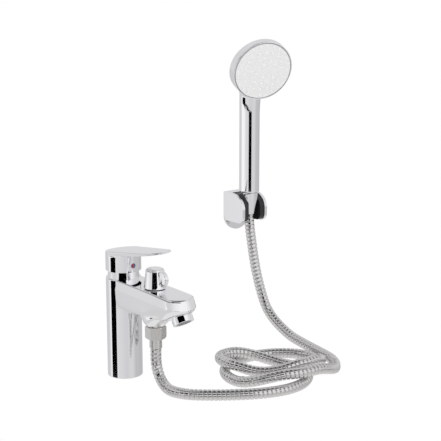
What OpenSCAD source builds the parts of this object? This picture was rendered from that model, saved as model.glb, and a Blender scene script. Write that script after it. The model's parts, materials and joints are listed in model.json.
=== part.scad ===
/* [Mixer body] */
// Radius of the column
column_r = 22.5; // [21.5:0.5:24]
// Height of the flat top over the deck
body_top = 130; // [126:1:136]
// Column axis to the centre of the spout's round tip
spout_reach = 119.5; // [116:0.5:124]
// Half width of the spout at its widest
spout_r = 20.3; // [19.5:0.1:21]
// Column axis to the diverter and shower outlet
diverter_x = 70; // [66:1:74]
// Tilt of the aerator from straight down
aerator_tilt = 33; // [28:1:36]

/* [Lever] */
// Height of the lever's top face over the body, at the column axis
lever_rise = 35.6; // [34:0.2:38]
// Slope of the lever plate
lever_slope = 8.7; // [7:0.1:10]
// Column axis to the centre of the lever's round tip
lever_reach = 75; // [70:0.5:80]
// Radius of the lever's round tip
lever_tip_r = 16.6; // [15:0.2:18]
// Thickness of the lever plate
lever_t = 4; // [3.4:0.2:5.4]
// Lift of the lever from shut to open, in degrees
lift_angle = 20; // [16:1:22]

/* [Cartridge] */
// Radius of the ball that fills the hollow in the lever's skirt
ball_r = 20.6; // [20.2:0.1:20.8]
// Outer radius of the cartridge housing
housing_r = 17.3; // [16.8:0.1:17.5]
// Lower arm of the spindle, from pivot to ball
arm_len = 15; // [14.6:0.1:15.2]
// Width of the square stem
stem_w = 8; // [7:0.5:8.5]

/* [Diverter and outlet] */
// Radius at the foot of the knob
knob_r = 13.7; // [13:0.1:14.5]
// Height of the knob
knob_h = 24; // [20:0.2:26]
// Width of the hose nut across its flats
nut_af = 23; // [22.8:0.2:26]
// Radius of the G 1/2 thread on the outlet and the hand shower
thread_r = 10.2; // [10:0.05:10.3]

/* [Hose] */
// Outer radius of the hose over its ribs
hose_r = 6.8; // [6.4:0.1:6.9]
// Radius of the hose's bore
hose_bore = 4.8; // [4.4:0.1:5]
// Spacing of the ribs in the model
rib_pitch = 7; // [6.8:0.2:9]

/* [Hand shower] */
// Radius of the handle
grip_r = 14; // [13.5:0.1:15.5]
// Length of the straight grip
grip_h = 103; // [90:1:115]
// Distance of the face's centre in front of the handle
face_x = 44.5; // [42:0.5:46]
// Angle of the face below level
face_tilt = 20; // [16:1:24]
// Radius of the head
head_r = 41.8; // [40:0.1:44]
// Turn of the hand shower in the bracket
shower_turn = -16; // [-30:1:30]
// Number of rings of nozzles
nozzle_rings = 4; // [3:1:4]

/* [Wall bracket] */
// Distance of the shower's axis to the right of the tap
bracket_y = 232; // [230:1:234]
// Distance of the shower's axis in front of the tap
bracket_x = -32; // [-34:1:-31]
// Height of the foot of the cone nut
cone_z = 175; // [172:1:178]
// Width of the bracket
bracket_w = 44; // [42:1:50]

/* [Clearances] */
// Gap between parts that move
slip = 0.3; // [0.2:0.05:0.4]
// Running fit on a shaft, on the radius
run = 0.05; // [0.03:0.01:0.08]
// Gap between parts that are screwed or laid together
seat = 0.1; // [0.05:0.05:0.15]

/* [Hidden] */
$fn = 64;
eps = 0.01;

chrome = [0.82, 0.83, 0.85];
nickel = [0.66, 0.67, 0.68];
brass = [0.78, 0.62, 0.32];
black = [0.06, 0.06, 0.07];
white = [0.93, 0.93, 0.92];
grey = [0.45, 0.46, 0.48];
ceramic = [0.9, 0.88, 0.84];
hot_red = [0.8, 0.08, 0.08];
cold_blue = [0.1, 0.25, 0.75];

// The spout is drawn as level outlines: depth below the top, how far the tip circle is set back from the
// spout's reach, and how much less than the spout's half width the tip and the end at the column are.
body_layers = [[46, 105.5, 17.6, 16.9], [44, 101.5, 14.9, 14.6], [41, 92.5, 11, 10.8], [38, 79.5, 8, 6.8],
  [35.5, 61.5, 6.6, 3.8], [33, 37.5, 6.2, 2], [31, 23.9, 5.7, 1.3], [28, 16.1, 4.7, 0.9],
  [24, 10.4, 3.1, 0.7], [20, 5.5, 1.6, 0.6], [16, 1.8, 0.5, 0.5], [12, 0, 0, 0.4], [8, 0.4, 0.5, 0.5],
  [4, 1.2, 1.1, 0.8], [1, 2.2, 1.9, 1.2], [0, 3, 2.5, 1.7]];
tip_n = 16;
back_n = 22;
side_n = 8;
// The outlet's boss flares from its round foot into the spout: depth below the top, half length, half width.
boss_r = 11.6;
boss_drop = 47.6;
boss_z = body_top - boss_drop;
boss_layers = [[boss_drop, boss_r, boss_r], [44, 14.8, 14.4], [40, 19.5, 16.8], [36, 26, 17.8], [33, 31, 17.4],
  [29, 34, 16.2]];
boss_n = 32;
foot_r = column_r - 5;
foot_h = 40;
seal_r = column_r - 2.4;
seal_t = 2;
inlet_r = 4.5;
inlet_x = -4;
inlet_y = 9;
stud_r = 3.4;
stud_x = 9;
hole_depth = 14;
way_r = 3.2;
outlet_way = 4.2;

// Cartridge, upwards from its chamber's floor.
chamber_z = body_top - 24;
chamber_h = 18;
chamber_r = housing_r + slip;
nut_r = chamber_r + 1.2;
pivot_z = body_top + 3;
cavity_r = housing_r - 2.1;
plate_h = 3;
port_x = 5;
port_r = 2.6;
disc_r = cavity_r - 0.6;
fixed_h = 4;
fixed_z = chamber_z + plate_h + seat;
moving_z = fixed_z + fixed_h + seat / 2;
moving_h = 5.9;
moving_r = 9.5;
hub_r = 11.2;
hub_top = pivot_z + 4;
flange_h = 2;
flange_z = moving_z + moving_h + slip;
roof_z = flange_z + flange_h + slip;
neck_r = hub_r + slip + 1.1;
arm_r = 2;
arm_ball_r = 2.7;
eye_w = 5.4;
eye_l = 7;
slot_x = 12;
pin_r = 1.5;
pin_l = 20;
arm_lean = lift_angle / 2;
disc_x = arm_len * sin(arm_lean);
stem_z = pivot_z + 6;
stem_top = pivot_z + 24;
trim_in = 15.1;
trim_r = ball_r - 0.2;
trim_top_r = ball_r - 1.6;
trim_top = pivot_z + 8;

// Lever.
lever_z = body_top + lever_rise;
skirt_z = body_top + 9.7;
skirt_share = 0.004;
skirt_front = column_r + skirt_share * lever_reach;
boss_in_r = 9;
boss_in_z = pivot_z + 12.5;
index_z = body_top + 18;
index_r = 3.2;
index_t = 1.6;
grub_r = 2;
grub_l = 10;

// Diverter and outlets.
valve_r = 9;
valve_z = body_top - 33;
bonnet_h = 14;
stem_r = 3.8;
plug_top = body_top - bonnet_h - slip;
cap_r = 9.2;
cap_t = 2;
lug_r = 9.2;
lug_x = 15.9;
lug_z = knob_h - 10;
lug_t = 5.5;
aer_x = spout_reach + 9.5;
aer_z = body_top - 30.3;
aer_r = 13;
aer_ring = 7;
aer_thread = 11.8;
aer_thread_l = 6;
nut_h = 15.6;
nut_z = boss_z - 0.6 - nut_h;
nut_floor = 2.2;
washer_t = 1.9;
sleeve_r = hose_r + 1;
sleeve_l = 12.5;
flange_t = 2.3;
ferrule_z = nut_z + nut_floor + seat;
nipple_z = ferrule_z + flange_t + washer_t + 2 * seat;
screw_in = 9.5;

// Hand shower and bracket, measured from the cone's foot.
cone_h = 21;
cone_r = hose_r + 1.4;
cone_top_r = thread_r + 1.7;
cone_nut_h = 30.4;
insert_z = cone_z + 18.8;
insert_t = 2.2;
tube_sides = 8;
tail_r = hose_bore * cos(180 / tube_sides) - slip;
tail_l = 18;
shower_seat = insert_z + insert_t + seat;
grip_z = cone_z + 31;
neck_z = grip_z + grip_h - 4;
face_z = neck_z + 72;
face_r = head_r - 2.6;
face_t = 4;
gap_w = 1;
nozzle_r = 1.1;
nozzle_step = 9;
wall_x = bracket_x - 30;
plate_t = 4;
ear_front = bracket_x + 13;
ear_low = cone_z - 11.2;
ear_top = cone_z + 29;
ear_t = 4.3;
ear_round = [28, 20];
ear_foot_r = 10;
mouth_w = 21.6;
plate_low = ear_low + 6.2;
screw_gap = 20;
screw_z = cone_z + 1;
screw_r = 2.3;
pocket_x = bracket_x - 16;
grub_y = bracket_y + bracket_w / 2 - 10;

// Sets a part's own frame: a turned, moved copy of the axes.
module along_x(p) translate(p) rotate([0, 90, 0]) children();

module along_y(p) translate(p) rotate([-90, 0, 0]) children();

module at_aerator() translate([aer_x, 0, aer_z]) rotate([0, -aerator_tilt, 0]) children();

module at_shower() translate([bracket_x, bracket_y, 0]) rotate([0, 0, shower_turn]) children();

module at_face() translate([face_x, 0, face_z]) rotate([0, 90 + face_tilt, 0]) children();

module at_face_turned() at_shower() at_face() children();

module ring(r, bore, h) difference() {
  cylinder(h = h, r = r);
  translate([0, 0, -1]) cylinder(h = h + 2, r = bore);
}

// A solid through level or leaning rings of points, all with the same count.
module loft(rings) {
  n = len(rings[0]);
  k = len(rings);
  sides = [for (j = [0:k - 2], i = [0:n - 1], h = [0:1])
    let (a = j * n + i, b = j * n + (i + 1) % n)
    h == 0 ? [a, a + n, b + n] : [a, b + n, b]];
  foot = [for (i = [0:n - 1]) i];
  head = [for (i = [n - 1:-1:0]) (k - 1) * n + i];
  polyhedron(points = [for (r = rings) each r], faces = concat([foot], sides, [head]));
}

// The outline round two circles: one at the origin, one at c.
function outline(c, r, back) = let (a = acos((back - r) / c)) concat(
  [for (i = [0:tip_n]) let (t = -a + 2 * a * i / tip_n) [c + r * cos(t), r * sin(t)]],
  [for (i = [0:back_n]) let (t = a + (360 - 2 * a) * i / back_n) [back * cos(t), back * sin(t)]]);

// Half width of the spout at a share of the way to its tip circle: it narrows late and ends level.
function spout_side(u, r, back) = r + (back - r) * (1 + cos(180 * pow(u, 4))) / 2;

// The spout's outline: a round tip, two sides and a round end inside the column.
function spout_outline(c, r, back) = concat(
  [for (i = [0:tip_n]) let (t = 180 * i / tip_n - 90) [c + r * cos(t), r * sin(t)]],
  [for (i = [side_n - 1:-1:1]) [c * i / side_n, spout_side(i / side_n, r, back)]],
  [for (i = [0:back_n]) let (t = 90 + 180 * i / back_n) [back * cos(t), back * sin(t)]],
  [for (i = [1:side_n - 1]) [c * i / side_n, -spout_side(i / side_n, r, back)]]);

body_rings = [for (l = body_layers)
  [for (p = spout_outline(spout_reach - l[1], spout_r - l[2], spout_r - l[3]))
    [p[0], p[1], body_top - l[0]]]];

boss_rings = [for (l = boss_layers) [for (i = [0:boss_n - 1]) let (t = i * 360 / boss_n)
  [diverter_x + l[1] * cos(t), l[2] * sin(t), body_top - l[0]]]];

module mixer_body() color(chrome) difference() {
  union() {
    cylinder(h = body_top, r = column_r);
    loft(body_rings);
    loft(boss_rings);
  }
  translate([0, 0, -1]) cylinder(h = foot_h + 1, r = foot_r);
  translate([0, 0, -1]) ring(seal_r + slip, foot_r - 1, seal_t + 1 - slip);
  for (y = [-inlet_y, inlet_y]) {
    translate([inlet_x, y, foot_h - 1]) cylinder(h = hole_depth + 1, r = inlet_r);
    translate([inlet_x, y, foot_h]) cylinder(h = chamber_z - foot_h + 1, r = way_r);
  }
  translate([stud_x, 0, foot_h - 1]) cylinder(h = hole_depth + 1, r = stud_r);
  translate([0, 0, chamber_z]) cylinder(h = body_top, r = chamber_r);
  translate([0, 0, chamber_z + chamber_h]) cylinder(h = body_top, r = nut_r + seat);
  translate([stud_x, 0, chamber_z - 12]) cylinder(h = 13, r = way_r);
  along_x([stud_x, 0, chamber_z - 12]) rotate([0, -10, 0])
    cylinder(h = diverter_x - stud_x, r = outlet_way);
  translate([diverter_x, 0, valve_z]) cylinder(h = body_top, r = valve_r);
  translate([diverter_x, 0, boss_z - 1]) cylinder(h = 21, r = way_r * 2);
  translate([diverter_x, 0, boss_z - 1]) cylinder(h = 12, r = screw_in + seat);
  along_x([diverter_x, 0, body_top - 19]) cylinder(h = spout_reach - diverter_x + 5, r = outlet_way);
  at_aerator() {
    translate([0, 0, -15]) cylinder(h = aer_ring + 15, r = aer_r + 1);
    cylinder(h = aer_ring + aer_thread_l + 1.6, r = aer_thread + slip);
  }
}

module base_seal() color(black) ring(seal_r, foot_r, seal_t - slip);

module cartridge_housing() color(white) difference() {
  union() {
    translate([0, 0, chamber_z + seat]) cylinder(h = chamber_h - seat, r = housing_r);
    translate([0, 0, chamber_z]) cylinder(h = roof_z - chamber_z + 8.2, r = neck_r);
  }
  translate([0, 0, chamber_z + plate_h]) cylinder(h = roof_z - chamber_z - plate_h, r = cavity_r);
  translate([0, 0, chamber_z + plate_h]) cylinder(h = body_top, r = hub_r + slip);
  for (a = [0, 115, 245])
    rotate(a) translate([stud_x, 0, chamber_z - 1]) cylinder(h = plate_h + 2, r = port_r);
  for (a = [0, 115, 245])
    rotate(a) translate([stud_x, 0, chamber_z - 1]) cylinder(h = 2.2, r = port_r + 1.5);
}

module cartridge_seals() color(black) for (a = [0, 115, 245])
  rotate(a) translate([stud_x, 0, chamber_z + 0.02]) ring(port_r + 1.4, port_r, 1.1);

module fixed_disc() color(ceramic) difference() {
  translate([0, 0, fixed_z]) cylinder(h = fixed_h, r = disc_r);
  for (a = [0, 115, 245])
    rotate(a) translate([stud_x, 0, fixed_z - 1]) cylinder(h = fixed_h + 2, r = port_r);
}

module moving_disc() color(ceramic) translate([-disc_x, 0, moving_z]) difference() {
  cylinder(h = moving_h, r = moving_r);
  translate([0, 0, 1.3]) cylinder(h = moving_h, r = arm_ball_r + slip);
}

module cartridge_carrier() color(white) difference() {
  union() {
    translate([0, 0, flange_z]) cylinder(h = flange_h, r = disc_r);
    translate([0, 0, flange_z]) cylinder(h = hub_top - flange_z, r = hub_r);
  }
  translate([-slot_x / 2, -eye_w / 2 - slip, flange_z - 1])
    cube([slot_x, eye_w + 2 * slip, hub_top]);
  along_y([0, -hub_r - 1, pivot_z]) cylinder(h = 2 * hub_r + 2, r = pin_r);
}

module pivot_pin() color(nickel)
  along_y([0, -pin_l / 2, pivot_z]) cylinder(h = pin_l, r = pin_r - run / 2);

module lever_spindle() color(brass) difference() {
  union() {
    translate([-eye_l / 2, -eye_w / 2, pivot_z - eye_l / 2])
      cube([eye_l, eye_w, stem_z - pivot_z + eye_l / 2 + eps]);
    translate([-stem_w / 2, -stem_w / 2, stem_z]) cube([stem_w, stem_w, stem_top - stem_z]);
    translate([0, 0, pivot_z]) rotate([0, 180 + arm_lean, 0]) {
      cylinder(h = arm_len, r = arm_r);
      translate([0, 0, arm_len]) sphere(r = arm_ball_r);
    }
  }
  along_y([0, -eye_w, pivot_z]) cylinder(h = 2 * eye_w, r = pin_r + run);
}

module retaining_nut() color(brass) translate([0, 0, chamber_z + chamber_h + seat])
  ring(nut_r, neck_r + slip, 5.6);

module trim_ring() color(chrome) difference() {
  translate([0, 0, body_top + run]) cylinder(h = trim_top - body_top - run, r1 = trim_r, r2 = trim_top_r);
  translate([0, 0, body_top - 1]) cylinder(h = 40, r = trim_in);
}

// The lever flows from its skirt into its plate: drop below the top in thicknesses, share of the reach,
// share of the narrowing to the tip, share of the slope. The top outlines are drawn in by the last number.
skirt_h = lever_z - skirt_z;
lever_layers = [[skirt_h / lever_t, skirt_share, 0, 0, 0], [3.5, skirt_share, 0, 0.5, 0],
  [2.4, skirt_share, 0, 1, 0], [1.9, 0.014, 0.04, 1, 0], [1.6, 0.04, 0.18, 1, 0], [1.38, 0.1, 0.41, 1, 0],
  [1.23, 0.22, 0.61, 1, 0], [1.08, 0.5, 0.88, 1, 0], [0.93, 0.72, 1.1, 1, 0], [0.73, 0.9, 1.18, 1, 0],
  [0.48, 0.98, 1.1, 1, 0], [0.25, 1, 1, 1, 0], [0.1, 1, 1, 1, 0.2], [0, 1, 1, 1, 0.8]];
lever_rings = [for (l = lever_layers) let (tip = column_r - l[2] * (column_r - lever_tip_r))
  [for (p = outline(l[1] * lever_reach, tip - l[4], column_r - l[4]))
    [p[0], p[1], lever_z - l[0] * lever_t + l[3] * p[0] * tan(lever_slope)]]];

module lever_handle() color(chrome) difference() {
  loft(lever_rings);
  difference() {
    translate([0, 0, pivot_z]) sphere(r = ball_r + slip, $fn = 128);
    translate([0, 0, boss_in_z]) cylinder(h = 40, r = boss_in_r);
  }
  translate([-stem_w / 2 - seat, -stem_w / 2 - seat, pivot_z])
    cube([stem_w + 2 * seat, stem_w + 2 * seat, stem_top - pivot_z + seat]);
  along_x([0, 0, index_z]) cylinder(h = column_r, r = grub_r + seat);
  along_x([skirt_front - index_t - seat, 0, index_z]) cylinder(h = 10, r = index_r + seat);
}

module handle_screw() color(nickel)
  along_x([stem_w / 2 + seat, 0, index_z]) cylinder(h = grub_l, r = grub_r);

module index_half(side) intersection() {
  along_x([skirt_front - index_t, 0, index_z]) cylinder(h = index_t, r = index_r);
  translate([0, side > 0 ? run / 2 : -20 - run / 2, index_z - 10]) cube([40, 20, 20]);
}

module index_hot() color(hot_red) index_half(-1);

module index_cold() color(cold_blue) index_half(1);

module diverter_bonnet() color(brass) translate([diverter_x, 0, body_top - bonnet_h])
  ring(valve_r - seat, stem_r + run, bonnet_h);

module diverter_stem() color(brass) translate([diverter_x, 0, plug_top])
  cylinder(h = body_top + knob_h - cap_t - 1 - plug_top, r = stem_r);

module diverter_plug() color(brass) translate([diverter_x, 0, 0]) difference() {
  translate([0, 0, valve_z + slip]) cylinder(h = plug_top - valve_z - slip, r = valve_r - slip);
  along_x([-valve_r - 1, 0, body_top - 20.5]) cylinder(h = 2 * valve_r + 2, r = 2.7);
  along_y([0, 0, body_top - 27]) cylinder(h = valve_r + 1, r = 2.7);
  translate([0, 0, valve_z]) cylinder(h = body_top - 27 - valve_z, r = 2.7);
}

module diverter_knob() color(chrome) translate([diverter_x, 0, body_top + 2 * slip]) difference() {
  union() {
    rotate_extrude($fn = 128) polygon([[0, 0], [knob_r - 0.4, 0], [knob_r, 0.5], [knob_r - 2.3, knob_h - 2.2],
      [knob_r - 2.9, knob_h - 0.9], [knob_r - 4, knob_h], [0, knob_h]]);
    along_y([lug_x, -lug_t / 2, lug_z]) cylinder(h = lug_t, r = lug_r);
  }
  translate([0, 0, -1]) cylinder(h = knob_h - cap_t, r = stem_r + seat / 2);
  translate([0, 0, knob_h - cap_t]) cylinder(h = cap_t + 1, r = cap_r + seat);
}

module knob_cap() color(chrome) translate([diverter_x, 0, body_top + 2 * slip + knob_h - cap_t])
  cylinder(h = cap_t + 0.2, r = cap_r);

module aerator_housing() color(chrome) at_aerator() difference() {
  union() {
    cylinder(h = aer_ring - seat, r = aer_r);
    cylinder(h = aer_ring + aer_thread_l, r = aer_thread);
  }
  translate([0, 0, 2]) cylinder(h = 30, r = aer_thread - 1.4);
  translate([0, 0, -1]) cylinder(h = 30, r = aer_thread - 2.4);
}

module aerator_insert() color(grey) at_aerator() difference() {
  translate([0, 0, 2 + seat]) cylinder(h = 9, r = aer_thread - 1.4 - seat);
  for (k = [0:1], i = [0:5 + 6 * k])
    rotate(i * 60 / (k + 1)) translate([3.2 * (k + 1) - 0.2, 0, 0]) cylinder(h = 20, r = 1.1);
}

module aerator_washer() color(black) at_aerator()
  translate([0, 0, aer_ring + aer_thread_l + 0.1]) ring(aer_thread, 6.4, 1.4);

module outlet_nipple() color(brass) translate([diverter_x, 0, 0]) difference() {
  union() {
    translate([0, 0, nipple_z]) cylinder(h = boss_z - seat - nipple_z, r = thread_r);
    translate([0, 0, nipple_z]) cylinder(h = boss_z + 10 - nipple_z, r = screw_in);
  }
  translate([0, 0, nipple_z - 1]) cylinder(h = 40, r = 6);
}

module check_valve() color(white) translate([diverter_x, 0, nipple_z + 2]) ring(6 - seat, 3.4, 13);

module tap_washer() color(black) translate([diverter_x, 0, nipple_z - washer_t - seat / 2])
  ring(thread_r, 5, washer_t);

module hose_nut() color(nickel) translate([diverter_x, 0, nut_z]) difference() {
  intersection() {
    rotate(-3) cylinder(h = nut_h, r = nut_af / 2 / cos(30), $fn = 6);
    rotate_extrude() polygon([[0, 0], [nut_af / 2, 0], [nut_af / 2 + 2, 1.2],
      [nut_af / 2 + 2, nut_h - 1.2], [nut_af / 2, nut_h], [0, nut_h]]);
  }
  translate([0, 0, nut_floor]) cylinder(h = nut_h, r = thread_r + slip);
  translate([0, 0, -1]) cylinder(h = nut_h, r = sleeve_r + slip);
}

module hose_ferrule() color(nickel) translate([diverter_x, 0, ferrule_z]) difference() {
  union() {
    cylinder(h = flange_t, r = thread_r);
    translate([0, 0, -nut_floor - seat - sleeve_l]) cylinder(h = nut_floor + sleeve_l + 1, r = sleeve_r);
  }
  translate([0, 0, -40]) cylinder(h = 50, r = tail_r - 0.5);
  translate([0, 0, -nut_floor - sleeve_l - 20]) cylinder(h = 18.5 + sleeve_l, r = hose_r + seat);
}

// The hose is one route in three pieces. Its free ends follow points chosen by hand; the two laps on the
// floor come from the ends of their half turns, how far each half turn bulges, and where it is lifted.
hose_top = ferrule_z - nut_floor - 1.7;
floor_z = hose_r + 0.4;
lap_ends = [[50, -10], [-62, 6], [70, 22], [-56, -4], [88, 18]];
lap_bulge = [32, -42, 54, -64];
lap_n = 24;
lap_x = 120;
lap_y = 140;
lap_turn = 52.3;
lap_lift = 2 * hose_r + 1;
curve_n = 5;
bore_every = 4;
rib_depth = 0.9;

function smooth(x) = let (t = min(1, max(0, x))) t * t * (3 - 2 * t);

function hump(s, a, b, c, d) = smooth((s - a) / (b - a)) * (1 - smooth((s - c) / (d - c)));

function lap_z(s) = floor_z + lap_lift * (hump(s, 0.3, 0.75, 1.2, 1.6) + hump(s, 1.35, 1.7, 1.8, 2.15)
  + hump(s, 3.2, 3.54, 3.68, 3.98));

function lap(s) = let (k = min(len(lap_bulge) - 1, floor(s)), t = (s - k) * 180,
  mid = (lap_ends[k] + lap_ends[k + 1]) / 2, half = (lap_ends[k] - lap_ends[k + 1]) / 2,
  r = mid[0] + half[0] * cos(t), w = mid[1] + half[1] * cos(t) + lap_bulge[k] * sin(t))
  [lap_x + r * cos(lap_turn) - w * sin(lap_turn), lap_y + r * sin(lap_turn) + w * cos(lap_turn), lap_z(s)];

laps = [for (i = [0:lap_n * len(lap_bulge)]) lap(i / lap_n)];
last = len(laps) - 1;
drop_points = [[diverter_x, 0, hose_top + 12], [diverter_x, 0, hose_top], [diverter_x, 0, 49],
  [diverter_x, 0, 37], [72.5, 0, 26], [79, 0, 16], [89, -1, 10], [102, -2, 7.8], [116, 2, floor_z + 0.2],
  [130, 12, floor_z], [145, 29, floor_z], [159, 48, floor_z], [172, 69, floor_z], [182, 92, floor_z],
  [187, 115, floor_z], [185, 137, floor_z], [176, 156, floor_z], laps[0], laps[4]];
hose_end = insert_z - 0.6;
rise_points = [laps[last - 4], laps[last], [146, 229.5, 7.8], [132, 232.5, 9], [110, 233.5, 10.8],
  [84, 233.5, 13.6], [58, 233, 18], [34, 232.5, 27.5], [16.5, 232, 38.5], [4, 232, 52], [-6.5, 232, 72],
  [-14.9, 232, 93], [-21.3, 232, 115], [-26.3, 232, 137], [-30.2, 232, 156],
  [bracket_x, bracket_y, cone_z - 4], [bracket_x, bracket_y, cone_z + 8], [bracket_x, bracket_y, hose_end],
  [bracket_x, bracket_y, hose_end + 10]];

// A smooth line through all but the first and last of the points.
function spline(p) = [for (i = [1:len(p) - 3], j = [0:curve_n - 1]) let (t = j / curve_n,
  a = p[i - 1], b = p[i], c = p[i + 1], d = p[i + 2])
  ((2 * b) + (c - a) * t + (2 * a - 5 * b + 4 * c - d) * t * t + (3 * b - a - 3 * c + d) * t * t * t) / 2];

route = concat(spline(drop_points), [for (i = [0:last - 1]) laps[i]], spline(rise_points),
  [rise_points[len(rise_points) - 2]]);
count = len(route);
run_at = [for (i = 0, s = 0; i < count;
  s = s + (i < count - 1 ? norm(route[i + 1] - route[i]) : 0), i = i + 1) s];
coil_start = run_at[(len(drop_points) - 3) * curve_n];
coil_end = run_at[(len(drop_points) - 3) * curve_n + last];
hose_len = run_at[count - 1];

function unit(v) = v / norm(v);

heads = [for (i = [0:count - 1]) unit(route[min(count - 1, i + 1)] - route[max(0, i - 1)])];
sides_at = [for (i = 0, v = [0, 1, 0]; i < count; i = i + 1,
  v = i < count ? unit(v - heads[i] * (v * heads[i])) : v) v];

function place(s) = min(count - 2, len([for (v = run_at) if (v <= s) 1]) - 1);

function tube_ring(s, r) = let (i = max(0, place(s)),
  t = min(1, (s - run_at[i]) / (run_at[i + 1] - run_at[i])),
  o = route[i] * (1 - t) + route[i + 1] * t, h = unit(heads[i] * (1 - t) + heads[i + 1] * t),
  u0 = sides_at[i] * (1 - t) + sides_at[i + 1] * t, u = unit(u0 - h * (u0 * h)), v = cross(h, u))
  [for (k = [0:tube_sides - 1]) o + r * (cos(k * 360 / tube_sides) * u + sin(k * 360 / tube_sides) * v)];

module tube(a, b) {
  ribs = bore_every * round((b - a) / rib_pitch / bore_every);
  outer = [for (j = [0:2 * ribs])
    tube_ring(a + (b - a) * j / (2 * ribs), j % 2 == 0 ? hose_r - rib_depth : hose_r)];
  bores = ribs / bore_every * 2;
  inner = [for (j = [0:bores]) tube_ring(a + (b - a) * j / bores, hose_bore)];
  n = tube_sides;
  q = len(outer) * n;
  e = q + (len(inner) - 1) * n;
  skin = [for (j = [0:2 * ribs - 1], i = [0:n - 1], h = [0:1]) let (c = j * n + i, d = j * n + (i + 1) % n)
    h == 0 ? [c, c + n, d + n] : [c, d + n, d]];
  lining = [for (j = [0:bores - 1], i = [0:n - 1], h = [0:1])
    let (c = q + j * n + i, d = q + j * n + (i + 1) % n) h == 0 ? [c, d + n, c + n] : [c, d, d + n]];
  start = [for (i = [0:n - 1], h = [0:1]) let (d = (i + 1) % n) h == 0 ? [i, d, q + d] : [i, q + d, q + i]];
  end = [for (i = [0:n - 1], h = [0:1]) let (d = (i + 1) % n, o = q - n)
    h == 0 ? [o + i, e + d, o + d] : [o + i, e + i, e + d]];
  polyhedron(points = [for (r = concat(outer, inner)) each r], faces = concat(skin, lining, start, end));
}

// The least gap from the hose to itself, on points that are far apart along it.
probe = [for (i = [0:2:count - 1]) i];
near = 3 * hose_r;
gaps = [for (i = probe, j = probe) if (run_at[j] - run_at[i] > 3 * near) norm(route[i] - route[j])];
echo(hose_length = hose_len, least_gap = min(gaps) - 2 * hose_r,
  lowest = min([for (p = route) p[2]]) - hose_r);

module hose_drop() color(nickel) tube(0, coil_start);

module hose_coil() color(nickel) tube(coil_start, coil_end);

module hose_rise() color(nickel) tube(coil_end, hose_len);

module hose_insert() color(brass) translate([bracket_x, bracket_y, insert_z]) difference() {
  union() {
    cylinder(h = insert_t, r = thread_r - 0.2);
    translate([0, 0, -tail_l]) cylinder(h = tail_l + 1, r = tail_r);
  }
  translate([0, 0, -40]) cylinder(h = 80, r = tail_r - 1.2);
}

module shower_washer() color(black) at_shower() translate([0, 0, shower_seat])
  ring(thread_r - slip, 5, washer_t);

module cone_nut() color(chrome) at_shower() translate([0, 0, cone_z]) difference() {
  union() {
    cylinder(h = cone_h, r1 = cone_r, r2 = cone_top_r);
    translate([0, 0, cone_h]) cylinder(h = cone_nut_h - cone_h, r = cone_top_r);
  }
  translate([0, 0, -1]) cylinder(h = 60, r = hose_r + slip + 0.1);
  translate([0, 0, insert_z - cone_z - slip]) cylinder(h = 60, r = thread_r + 0.15);
}

// Neck of the hand shower: forward, up from the grip, lean, half width, half depth.
neck = [[0, 0, 0, 0, 0], [0, 12, 2, 0, 0.2], [2, 22, 9, 0.3, 1], [6, 32, 16, 2.4, 2.2],
  [11.5, 42, 20, 8.4, 3.2], [17, 53, 20, 12.5, 4.7], [22.5, 65, 20, 14.5, 7.2], [28, 77, 20, 11, 12]];
neck_rings = [for (k = neck) [for (i = [0:31]) let (t = i * 11.25, d = (grip_r - k[4]) * cos(t))
  [k[0] + d * cos(k[2]), (grip_r - 0.02 + k[3]) * sin(t), neck_z + k[1] - d * sin(k[2])]]];
// The head is a wedge, thicker at the neck: how much each ring is drawn in, and its share of the depth.
head_t = 18.5;
head_wedge = 6;
head_layers = [[6.4, 1], [3, 0.985], [1, 0.94], [0.2, 0.87], [0, 0.78], [0, 0]];
head_n = 48;
head_rings = [for (l = head_layers) let (r = head_r - l[0]) [for (i = [0:head_n - 1])
  let (t = i * 360 / head_n)
  [r * cos(t), r * sin(t), -l[1] * (head_t + head_wedge * r / head_r * cos(t))]]];
pocket_t = 8;
neck_way = 4.5;

module shower_shell() color(chrome) at_shower() difference() {
  union() {
    translate([0, 0, shower_seat + washer_t + seat]) cylinder(h = 20, r = thread_r - 0.05);
    rotate_extrude() polygon([[0, grip_z], [grip_r - 1.5, grip_z], [grip_r - 0.45, grip_z + 0.45],
      [grip_r, grip_z + 1.5], [grip_r, grip_z + grip_h], [0, grip_z + grip_h]]);
    loft(neck_rings);
    at_face() loft(head_rings);
  }
  translate([0, 0, cone_z]) cylinder(h = neck_z - cone_z + 6, r = 6);
  translate([0, 0, neck_z + 4]) rotate([0, face_tilt, 0]) cylinder(h = 62, r = neck_way);
  at_face() {
    translate([head_t - 1, 0, -2 * pocket_t]) cylinder(h = pocket_t + 1, r = neck_way);
    translate([0, 0, -pocket_t]) cylinder(h = 20, r = face_r + gap_w + seat, $fn = 128);
  }
}

module rim_seal() color(grey) at_face_turned() translate([0, 0, -face_t])
  ring(face_r + gap_w, face_r + seat, face_t - 0.6);

function nozzle_at(k) = [for (i = [0:6 * k - 1]) let (t = i * 60 / k)
  nozzle_step * k * [cos(t), sin(t), 0]];

module shower_face() color(white) at_face_turned() difference() {
  translate([0, 0, -face_t]) cylinder(h = face_t, r = face_r, $fn = 128);
  for (k = [1:nozzle_rings], p = nozzle_at(k))
    translate(p + [0, 0, -10]) cylinder(h = 20, r = nozzle_r + slip, $fn = 16);
}

module nozzle_mat() color(white) at_face_turned() {
  translate([0, 0, -face_t - 2 - seat]) cylinder(h = 2, r = face_r - 1);
  for (k = [1:nozzle_rings], p = nozzle_at(k))
    translate(p + [0, 0, -face_t - 1]) cylinder(h = face_t + 1.8, r = nozzle_r, $fn = 16);
}

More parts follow.
